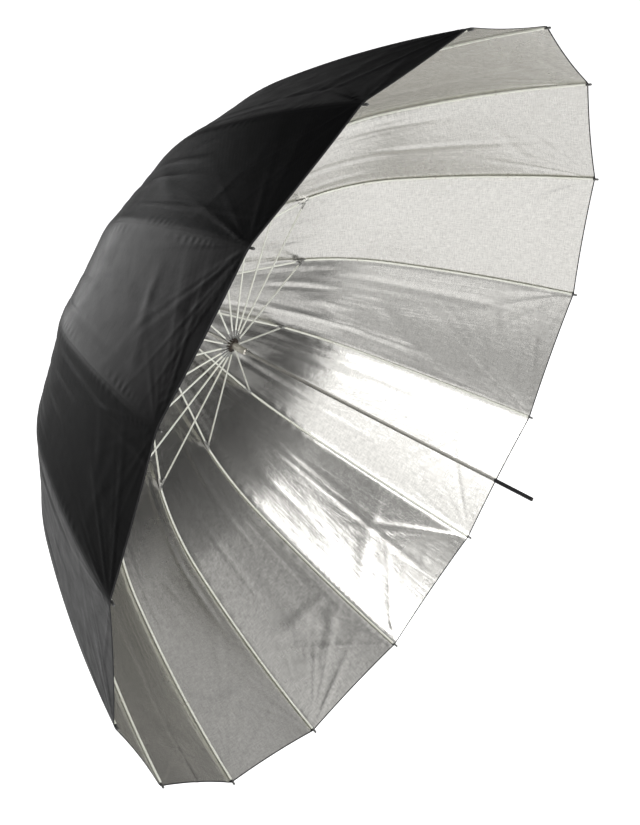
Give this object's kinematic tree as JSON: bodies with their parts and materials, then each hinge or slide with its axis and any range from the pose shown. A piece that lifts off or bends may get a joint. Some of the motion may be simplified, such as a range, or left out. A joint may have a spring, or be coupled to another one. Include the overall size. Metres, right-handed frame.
{
  "type": "umbrella reflector",
  "caption": "Deep parabolic folding umbrella reflector for studio lighting, silver inside and black outside, with jointed rod ribs, stretchers, a sliding runner and a straight steel shaft.",
  "frame": {"origin": "centre of the shaft's free lower end face", "axes": "+Y along the shaft towards the crown, +Z through the first rib, mouth of the bowl facing -Y"},
  "size_m": [1.653, 1.015, 1.653],
  "materials": {
    "shaft_steel": "bright drawn steel",
    "black_lacquer": "semi-gloss black",
    "black_plastic": "moulded satin",
    "sleeve_plastic": "moulded satin",
    "bright_wire": "polished wire",
    "rivet_steel": "plated steel",
    "ferrule_metal": "black",
    "reflector_fabric": "silver coated weave inside, black satin outside",
    "rib_rod": "cream pultruded fibreglass",
    "stretcher_rod": "cream pultruded fibreglass"
  },
  "bodies": {
    "root": {"shaft_tube": "shaft_steel", "shaft_end_section": "black_lacquer", "end_cap": "black_plastic", "crown_notch": "black_plastic", "notch_wire": "bright_wire", "notch_rivet": "rivet_steel", "crown_washer": "black_plastic", "top_ferrule": "ferrule_metal", "canopy": "reflector_fabric"},
    "runner": {"runner_hub": "black_plastic", "runner_sleeve": "sleeve_plastic"},
    "catch": {"catch_leaf": "rivet_steel"},
    "rib_inner_01": {"rib_inner_01": "rib_rod"},
    "rib_outer_01": {"rib_outer_01": "rib_rod"},
    "stretcher_01": {"stretcher_01": "stretcher_rod"},
    "rib_inner_02": {"rib_inner_02": "rib_rod"},
    "rib_outer_02": {"rib_outer_02": "rib_rod"},
    "stretcher_02": {"stretcher_02": "stretcher_rod"},
    "rib_inner_03": {"rib_inner_03": "rib_rod"},
    "rib_outer_03": {"rib_outer_03": "rib_rod"},
    "stretcher_03": {"stretcher_03": "stretcher_rod"},
    "rib_inner_04": {"rib_inner_04": "rib_rod"},
    "rib_outer_04": {"rib_outer_04": "rib_rod"},
    "stretcher_04": {"stretcher_04": "stretcher_rod"},
    "rib_inner_05": {"rib_inner_05": "rib_rod"},
    "rib_outer_05": {"rib_outer_05": "rib_rod"},
    "stretcher_05": {"stretcher_05": "stretcher_rod"},
    "rib_inner_06": {"rib_inner_06": "rib_rod"},
    "rib_outer_06": {"rib_outer_06": "rib_rod"},
    "stretcher_06": {"stretcher_06": "stretcher_rod"},
    "rib_inner_07": {"rib_inner_07": "rib_rod"},
    "rib_outer_07": {"rib_outer_07": "rib_rod"},
    "stretcher_07": {"stretcher_07": "stretcher_rod"},
    "rib_inner_08": {"rib_inner_08": "rib_rod"},
    "rib_outer_08": {"rib_outer_08": "rib_rod"},
    "stretcher_08": {"stretcher_08": "stretcher_rod"},
    "rib_inner_09": {"rib_inner_09": "rib_rod"},
    "rib_outer_09": {"rib_outer_09": "rib_rod"},
    "stretcher_09": {"stretcher_09": "stretcher_rod"},
    "rib_inner_10": {"rib_inner_10": "rib_rod"},
    "rib_outer_10": {"rib_outer_10": "rib_rod"},
    "stretcher_10": {"stretcher_10": "stretcher_rod"},
    "rib_inner_11": {"rib_inner_11": "rib_rod"},
    "rib_outer_11": {"rib_outer_11": "rib_rod"},
    "stretcher_11": {"stretcher_11": "stretcher_rod"},
    "rib_inner_12": {"rib_inner_12": "rib_rod"},
    "rib_outer_12": {"rib_outer_12": "rib_rod"},
    "stretcher_12": {"stretcher_12": "stretcher_rod"},
    "rib_inner_13": {"rib_inner_13": "rib_rod"},
    "rib_outer_13": {"rib_outer_13": "rib_rod"},
    "stretcher_13": {"stretcher_13": "stretcher_rod"},
    "rib_inner_14": {"rib_inner_14": "rib_rod"},
    "rib_outer_14": {"rib_outer_14": "rib_rod"},
    "stretcher_14": {"stretcher_14": "stretcher_rod"},
    "rib_inner_15": {"rib_inner_15": "rib_rod"},
    "rib_outer_15": {"rib_outer_15": "rib_rod"},
    "stretcher_15": {"stretcher_15": "stretcher_rod"},
    "rib_inner_16": {"rib_inner_16": "rib_rod"},
    "rib_outer_16": {"rib_outer_16": "rib_rod"},
    "stretcher_16": {"stretcher_16": "stretcher_rod"}
  },
  "joints": [
    {"name": "runner_slide", "type": "slide", "parent": "root", "child": "runner", "axis": [0, -1, 0], "range_m": [0, 0.59022], "deforming": ["canopy"]},
    {"name": "catch_press", "type": "slide", "parent": "root", "child": "catch", "axis": [0, 0, -1], "range_m": [0, 0.0026], "stiffness_N_per_m": 1200},
    {"name": "rib_hinge_01", "type": "hinge", "parent": "root", "child": "rib_inner_01", "pos_m": [0, 0.983, 0.012], "axis": [1, 0, 0], "range_deg": [0, 69.54]},
    {"name": "rib_flex_01", "type": "hinge", "parent": "rib_inner_01", "child": "rib_outer_01", "pos_m": [0, 0.8442, 0.43269], "axis": [1, 0, 0], "range_deg": [-32.42, 0]},
    {"name": "stretcher_hinge_01", "type": "hinge", "parent": "rib_inner_01", "child": "stretcher_01", "pos_m": [0, 0.84288, 0.41752], "axis": [1, 0, 0], "range_deg": [-141.39, 0]},
    {"name": "rib_hinge_02", "type": "hinge", "parent": "root", "child": "rib_inner_02", "pos_m": [0.00459, 0.983, 0.01109], "axis": [0.9239, 0, -0.3827], "range_deg": [0, 69.54]},
    {"name": "rib_flex_02", "type": "hinge", "parent": "rib_inner_02", "child": "rib_outer_02", "pos_m": [0.16558, 0.8442, 0.39976], "axis": [0.9239, 0, -0.3827], "range_deg": [-32.42, 0]},
    {"name": "stretcher_hinge_02", "type": "hinge", "parent": "rib_inner_02", "child": "stretcher_02", "pos_m": [0.15978, 0.84288, 0.38574], "axis": [0.9239, 0, -0.3827], "range_deg": [-141.39, 0]},
    {"name": "rib_hinge_03", "type": "hinge", "parent": "root", "child": "rib_inner_03", "pos_m": [0.00848, 0.983, 0.00848], "axis": [0.7071, 0, -0.7071], "range_deg": [0, 69.54]},
    {"name": "rib_flex_03", "type": "hinge", "parent": "rib_inner_03", "child": "rib_outer_03", "pos_m": [0.30596, 0.8442, 0.30596], "axis": [0.7071, 0, -0.7071], "range_deg": [-32.42, 0]},
    {"name": "stretcher_hinge_03", "type": "hinge", "parent": "rib_inner_03", "child": "stretcher_03", "pos_m": [0.29523, 0.84288, 0.29523], "axis": [0.7071, 0, -0.7071], "range_deg": [-141.39, 0]},
    {"name": "rib_hinge_04", "type": "hinge", "parent": "root", "child": "rib_inner_04", "pos_m": [0.01109, 0.983, 0.00459], "axis": [0.3827, 0, -0.9239], "range_deg": [0, 69.54]},
    {"name": "rib_flex_04", "type": "hinge", "parent": "rib_inner_04", "child": "rib_outer_04", "pos_m": [0.39976, 0.8442, 0.16558], "axis": [0.3827, 0, -0.9239], "range_deg": [-32.42, 0]},
    {"name": "stretcher_hinge_04", "type": "hinge", "parent": "rib_inner_04", "child": "stretcher_04", "pos_m": [0.38574, 0.84288, 0.15978], "axis": [0.3827, 0, -0.9239], "range_deg": [-141.39, 0]},
    {"name": "rib_hinge_05", "type": "hinge", "parent": "root", "child": "rib_inner_05", "pos_m": [0.012, 0.983, 0], "axis": [0, 0, -1], "range_deg": [0, 69.54]},
    {"name": "rib_flex_05", "type": "hinge", "parent": "rib_inner_05", "child": "rib_outer_05", "pos_m": [0.43269, 0.8442, 0], "axis": [0, 0, -1], "range_deg": [-32.42, 0]},
    {"name": "stretcher_hinge_05", "type": "hinge", "parent": "rib_inner_05", "child": "stretcher_05", "pos_m": [0.41752, 0.84288, 0], "axis": [0, 0, -1], "range_deg": [-141.39, 0]},
    {"name": "rib_hinge_06", "type": "hinge", "parent": "root", "child": "rib_inner_06", "pos_m": [0.01109, 0.983, -0.00459], "axis": [-0.3827, 0, -0.9239], "range_deg": [0, 69.54]},
    {"name": "rib_flex_06", "type": "hinge", "parent": "rib_inner_06", "child": "rib_outer_06", "pos_m": [0.39976, 0.8442, -0.16558], "axis": [-0.3827, 0, -0.9239], "range_deg": [-32.42, 0]},
    {"name": "stretcher_hinge_06", "type": "hinge", "parent": "rib_inner_06", "child": "stretcher_06", "pos_m": [0.38574, 0.84288, -0.15978], "axis": [-0.3827, 0, -0.9239], "range_deg": [-141.39, 0]},
    {"name": "rib_hinge_07", "type": "hinge", "parent": "root", "child": "rib_inner_07", "pos_m": [0.00848, 0.983, -0.00848], "axis": [-0.7071, 0, -0.7071], "range_deg": [0, 69.54]},
    {"name": "rib_flex_07", "type": "hinge", "parent": "rib_inner_07", "child": "rib_outer_07", "pos_m": [0.30596, 0.8442, -0.30596], "axis": [-0.7071, 0, -0.7071], "range_deg": [-32.42, 0]},
    {"name": "stretcher_hinge_07", "type": "hinge", "parent": "rib_inner_07", "child": "stretcher_07", "pos_m": [0.29523, 0.84288, -0.29523], "axis": [-0.7071, 0, -0.7071], "range_deg": [-141.39, 0]},
    {"name": "rib_hinge_08", "type": "hinge", "parent": "root", "child": "rib_inner_08", "pos_m": [0.00459, 0.983, -0.01109], "axis": [-0.9239, 0, -0.3827], "range_deg": [0, 69.54]},
    {"name": "rib_flex_08", "type": "hinge", "parent": "rib_inner_08", "child": "rib_outer_08", "pos_m": [0.16558, 0.8442, -0.39976], "axis": [-0.9239, 0, -0.3827], "range_deg": [-32.42, 0]},
    {"name": "stretcher_hinge_08", "type": "hinge", "parent": "rib_inner_08", "child": "stretcher_08", "pos_m": [0.15978, 0.84288, -0.38574], "axis": [-0.9239, 0, -0.3827], "range_deg": [-141.39, 0]},
    {"name": "rib_hinge_09", "type": "hinge", "parent": "root", "child": "rib_inner_09", "pos_m": [0, 0.983, -0.012], "axis": [-1, 0, 0], "range_deg": [0, 69.54]},
    {"name": "rib_flex_09", "type": "hinge", "parent": "rib_inner_09", "child": "rib_outer_09", "pos_m": [0, 0.8442, -0.43269], "axis": [-1, 0, 0], "range_deg": [-32.42, 0]},
    {"name": "stretcher_hinge_09", "type": "hinge", "parent": "rib_inner_09", "child": "stretcher_09", "pos_m": [0, 0.84288, -0.41752], "axis": [-1, 0, 0], "range_deg": [-141.39, 0]},
    {"name": "rib_hinge_10", "type": "hinge", "parent": "root", "child": "rib_inner_10", "pos_m": [-0.00459, 0.983, -0.01109], "axis": [-0.9239, 0, 0.3827], "range_deg": [0, 69.54]},
    {"name": "rib_flex_10", "type": "hinge", "parent": "rib_inner_10", "child": "rib_outer_10", "pos_m": [-0.16558, 0.8442, -0.39976], "axis": [-0.9239, 0, 0.3827], "range_deg": [-32.42, 0]},
    {"name": "stretcher_hinge_10", "type": "hinge", "parent": "rib_inner_10", "child": "stretcher_10", "pos_m": [-0.15978, 0.84288, -0.38574], "axis": [-0.9239, 0, 0.3827], "range_deg": [-141.39, 0]},
    {"name": "rib_hinge_11", "type": "hinge", "parent": "root", "child": "rib_inner_11", "pos_m": [-0.00848, 0.983, -0.00848], "axis": [-0.7071, 0, 0.7071], "range_deg": [0, 69.54]},
    {"name": "rib_flex_11", "type": "hinge", "parent": "rib_inner_11", "child": "rib_outer_11", "pos_m": [-0.30596, 0.8442, -0.30596], "axis": [-0.7071, 0, 0.7071], "range_deg": [-32.42, 0]},
    {"name": "stretcher_hinge_11", "type": "hinge", "parent": "rib_inner_11", "child": "stretcher_11", "pos_m": [-0.29523, 0.84288, -0.29523], "axis": [-0.7071, 0, 0.7071], "range_deg": [-141.39, 0]},
    {"name": "rib_hinge_12", "type": "hinge", "parent": "root", "child": "rib_inner_12", "pos_m": [-0.01109, 0.983, -0.00459], "axis": [-0.3827, 0, 0.9239], "range_deg": [0, 69.54]},
    {"name": "rib_flex_12", "type": "hinge", "parent": "rib_inner_12", "child": "rib_outer_12", "pos_m": [-0.39976, 0.8442, -0.16558], "axis": [-0.3827, 0, 0.9239], "range_deg": [-32.42, 0]},
    {"name": "stretcher_hinge_12", "type": "hinge", "parent": "rib_inner_12", "child": "stretcher_12", "pos_m": [-0.38574, 0.84288, -0.15978], "axis": [-0.3827, 0, 0.9239], "range_deg": [-141.39, 0]},
    {"name": "rib_hinge_13", "type": "hinge", "parent": "root", "child": "rib_inner_13", "pos_m": [-0.012, 0.983, 0], "axis": [0, 0, 1], "range_deg": [0, 69.54]},
    {"name": "rib_flex_13", "type": "hinge", "parent": "rib_inner_13", "child": "rib_outer_13", "pos_m": [-0.43269, 0.8442, 0], "axis": [0, 0, 1], "range_deg": [-32.42, 0]},
    {"name": "stretcher_hinge_13", "type": "hinge", "parent": "rib_inner_13", "child": "stretcher_13", "pos_m": [-0.41752, 0.84288, 0], "axis": [0, 0, 1], "range_deg": [-141.39, 0]},
    {"name": "rib_hinge_14", "type": "hinge", "parent": "root", "child": "rib_inner_14", "pos_m": [-0.01109, 0.983, 0.00459], "axis": [0.3827, 0, 0.9239], "range_deg": [0, 69.54]},
    {"name": "rib_flex_14", "type": "hinge", "parent": "rib_inner_14", "child": "rib_outer_14", "pos_m": [-0.39976, 0.8442, 0.16558], "axis": [0.3827, 0, 0.9239], "range_deg": [-32.42, 0]},
    {"name": "stretcher_hinge_14", "type": "hinge", "parent": "rib_inner_14", "child": "stretcher_14", "pos_m": [-0.38574, 0.84288, 0.15978], "axis": [0.3827, 0, 0.9239], "range_deg": [-141.39, 0]},
    {"name": "rib_hinge_15", "type": "hinge", "parent": "root", "child": "rib_inner_15", "pos_m": [-0.00848, 0.983, 0.00848], "axis": [0.7071, 0, 0.7071], "range_deg": [0, 69.54]},
    {"name": "rib_flex_15", "type": "hinge", "parent": "rib_inner_15", "child": "rib_outer_15", "pos_m": [-0.30596, 0.8442, 0.30596], "axis": [0.7071, 0, 0.7071], "range_deg": [-32.42, 0]},
    {"name": "stretcher_hinge_15", "type": "hinge", "parent": "rib_inner_15", "child": "stretcher_15", "pos_m": [-0.29523, 0.84288, 0.29523], "axis": [0.7071, 0, 0.7071], "range_deg": [-141.39, 0]},
    {"name": "rib_hinge_16", "type": "hinge", "parent": "root", "child": "rib_inner_16", "pos_m": [-0.00459, 0.983, 0.01109], "axis": [0.9239, 0, 0.3827], "range_deg": [0, 69.54]},
    {"name": "rib_flex_16", "type": "hinge", "parent": "rib_inner_16", "child": "rib_outer_16", "pos_m": [-0.16558, 0.8442, 0.39976], "axis": [0.9239, 0, 0.3827], "range_deg": [-32.42, 0]},
    {"name": "stretcher_hinge_16", "type": "hinge", "parent": "rib_inner_16", "child": "stretcher_16", "pos_m": [-0.15978, 0.84288, 0.38574], "axis": [0.9239, 0, 0.3827], "range_deg": [-141.39, 0]}
  ],
  "couplings": [
    {"joint": "rib_hinge_01", "follows": "runner_slide", "rad_per_m": 2.0564},
    {"joint": "rib_flex_01", "follows": "runner_slide", "rad_per_m": -0.95866},
    {"joint": "stretcher_hinge_01", "follows": "runner_slide", "rad_per_m": -4.1811},
    {"joint": "rib_hinge_02", "follows": "runner_slide", "rad_per_m": 2.0564},
    {"joint": "rib_flex_02", "follows": "runner_slide", "rad_per_m": -0.95866},
    {"joint": "stretcher_hinge_02", "follows": "runner_slide", "rad_per_m": -4.1811},
    {"joint": "rib_hinge_03", "follows": "runner_slide", "rad_per_m": 2.0564},
    {"joint": "rib_flex_03", "follows": "runner_slide", "rad_per_m": -0.95866},
    {"joint": "stretcher_hinge_03", "follows": "runner_slide", "rad_per_m": -4.1811},
    {"joint": "rib_hinge_04", "follows": "runner_slide", "rad_per_m": 2.0564},
    {"joint": "rib_flex_04", "follows": "runner_slide", "rad_per_m": -0.95866},
    {"joint": "stretcher_hinge_04", "follows": "runner_slide", "rad_per_m": -4.1811},
    {"joint": "rib_hinge_05", "follows": "runner_slide", "rad_per_m": 2.0564},
    {"joint": "rib_flex_05", "follows": "runner_slide", "rad_per_m": -0.95866},
    {"joint": "stretcher_hinge_05", "follows": "runner_slide", "rad_per_m": -4.1811},
    {"joint": "rib_hinge_06", "follows": "runner_slide", "rad_per_m": 2.0564},
    {"joint": "rib_flex_06", "follows": "runner_slide", "rad_per_m": -0.95866},
    {"joint": "stretcher_hinge_06", "follows": "runner_slide", "rad_per_m": -4.1811},
    {"joint": "rib_hinge_07", "follows": "runner_slide", "rad_per_m": 2.0564},
    {"joint": "rib_flex_07", "follows": "runner_slide", "rad_per_m": -0.95866},
    {"joint": "stretcher_hinge_07", "follows": "runner_slide", "rad_per_m": -4.1811},
    {"joint": "rib_hinge_08", "follows": "runner_slide", "rad_per_m": 2.0564},
    {"joint": "rib_flex_08", "follows": "runner_slide", "rad_per_m": -0.95866},
    {"joint": "stretcher_hinge_08", "follows": "runner_slide", "rad_per_m": -4.1811},
    {"joint": "rib_hinge_09", "follows": "runner_slide", "rad_per_m": 2.0564},
    {"joint": "rib_flex_09", "follows": "runner_slide", "rad_per_m": -0.95866},
    {"joint": "stretcher_hinge_09", "follows": "runner_slide", "rad_per_m": -4.1811},
    {"joint": "rib_hinge_10", "follows": "runner_slide", "rad_per_m": 2.0564},
    {"joint": "rib_flex_10", "follows": "runner_slide", "rad_per_m": -0.95866},
    {"joint": "stretcher_hinge_10", "follows": "runner_slide", "rad_per_m": -4.1811},
    {"joint": "rib_hinge_11", "follows": "runner_slide", "rad_per_m": 2.0564},
    {"joint": "rib_flex_11", "follows": "runner_slide", "rad_per_m": -0.95866},
    {"joint": "stretcher_hinge_11", "follows": "runner_slide", "rad_per_m": -4.1811},
    {"joint": "rib_hinge_12", "follows": "runner_slide", "rad_per_m": 2.0564},
    {"joint": "rib_flex_12", "follows": "runner_slide", "rad_per_m": -0.95866},
    {"joint": "stretcher_hinge_12", "follows": "runner_slide", "rad_per_m": -4.1811},
    {"joint": "rib_hinge_13", "follows": "runner_slide", "rad_per_m": 2.0564},
    {"joint": "rib_flex_13", "follows": "runner_slide", "rad_per_m": -0.95866},
    {"joint": "stretcher_hinge_13", "follows": "runner_slide", "rad_per_m": -4.1811},
    {"joint": "rib_hinge_14", "follows": "runner_slide", "rad_per_m": 2.0564},
    {"joint": "rib_flex_14", "follows": "runner_slide", "rad_per_m": -0.95866},
    {"joint": "stretcher_hinge_14", "follows": "runner_slide", "rad_per_m": -4.1811},
    {"joint": "rib_hinge_15", "follows": "runner_slide", "rad_per_m": 2.0564},
    {"joint": "rib_flex_15", "follows": "runner_slide", "rad_per_m": -0.95866},
    {"joint": "stretcher_hinge_15", "follows": "runner_slide", "rad_per_m": -4.1811},
    {"joint": "rib_hinge_16", "follows": "runner_slide", "rad_per_m": 2.0564},
    {"joint": "rib_flex_16", "follows": "runner_slide", "rad_per_m": -0.95866},
    {"joint": "stretcher_hinge_16", "follows": "runner_slide", "rad_per_m": -4.1811}
  ]
}
